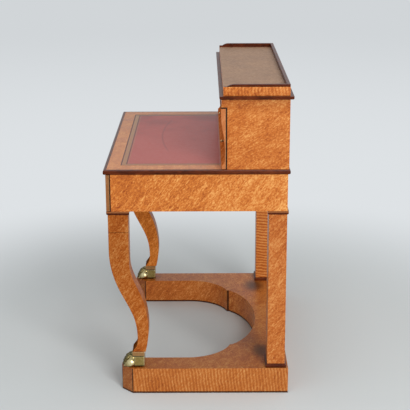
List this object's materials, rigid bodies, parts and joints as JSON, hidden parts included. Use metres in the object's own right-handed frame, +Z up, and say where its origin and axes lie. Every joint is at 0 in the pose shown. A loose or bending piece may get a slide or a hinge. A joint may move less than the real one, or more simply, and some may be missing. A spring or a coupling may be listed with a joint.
{
  "type": "writing desk",
  "caption": "Lady's writing desk with a galleried upper case of small drawers, leather-lined top, frieze drawer, S-shaped front legs on brass paws and a cusped plinth.",
  "frame": {"origin": "on the floor, under the middle of the desk's box", "axes": "+X to the sitter's right, -Y is the front where the sitter is, +Z up"},
  "size_m": [0.906, 0.581, 1.007],
  "materials": {
    "maple": "french-polished bird's-eye maple veneer",
    "amaranth": "polished dark amaranth",
    "oak": "plain waxed oak",
    "brass": "worn gilt brass",
    "leather": "worn red skiver with a gilt tooled border",
    "lock_iron": "dark oiled iron"
  },
  "bodies": {
    "desk": {"cornice_cap": "maple", "cornice_moulding": "amaranth", "desk_edge_moulding": "amaranth", "desk_top_board": "maple", "drawer_runners": "oak", "frieze_back": "maple", "frieze_front_rail": "oak", "frieze_rear_rail": "oak", "frieze_top_rail": "oak", "gallery_back": "amaranth", "gradin_back": "maple", "gradin_base": "oak", "gradin_divider": "oak", "gradin_front_rail": "maple", "gradin_roof": "oak", "left_frieze_side": "maple", "left_front_capital": "amaranth", "left_front_leg": "maple", "left_gallery_end": "amaranth", "left_gradin_side": "maple", "left_paw_foot": "brass", "left_plinth_arm": "maple", "left_rear_base": "amaranth", "left_rear_capital": "amaranth", "left_rear_leg": "maple", "plinth_back_rail": "maple", "right_frieze_side": "maple", "right_front_capital": "amaranth", "right_front_leg": "maple", "right_gallery_end": "amaranth", "right_gradin_side": "maple", "right_paw_foot": "brass", "right_plinth_arm": "maple", "right_rear_base": "amaranth", "right_rear_capital": "amaranth", "right_rear_leg": "maple", "writing_leather": "leather"},
    "frieze_drawer": {"frieze_drawer_back": "oak", "frieze_drawer_bottom": "oak", "frieze_drawer_front": "maple", "frieze_drawer_lock": "lock_iron", "frieze_drawer_sides": "oak", "keyhole_escutcheon": "brass"},
    "left_drawer": {"left_drawer_back": "oak", "left_drawer_bottom": "oak", "left_drawer_front": "maple", "left_drawer_knob": "brass", "left_drawer_sides": "oak"},
    "right_drawer": {"right_drawer_back": "oak", "right_drawer_bottom": "oak", "right_drawer_front": "maple", "right_drawer_knob": "brass", "right_drawer_sides": "oak"}
  },
  "joints": [
    {"name": "frieze_drawer_slide", "type": "slide", "parent": "desk", "child": "frieze_drawer", "axis": [0, -1, 0], "range_m": [0, 0.33]},
    {"name": "left_drawer_slide", "type": "slide", "parent": "desk", "child": "left_drawer", "axis": [0, -1, 0], "range_m": [0, 0.12]},
    {"name": "right_drawer_slide", "type": "slide", "parent": "desk", "child": "right_drawer", "axis": [0, -1, 0], "range_m": [0, 0.12]}
  ]
}
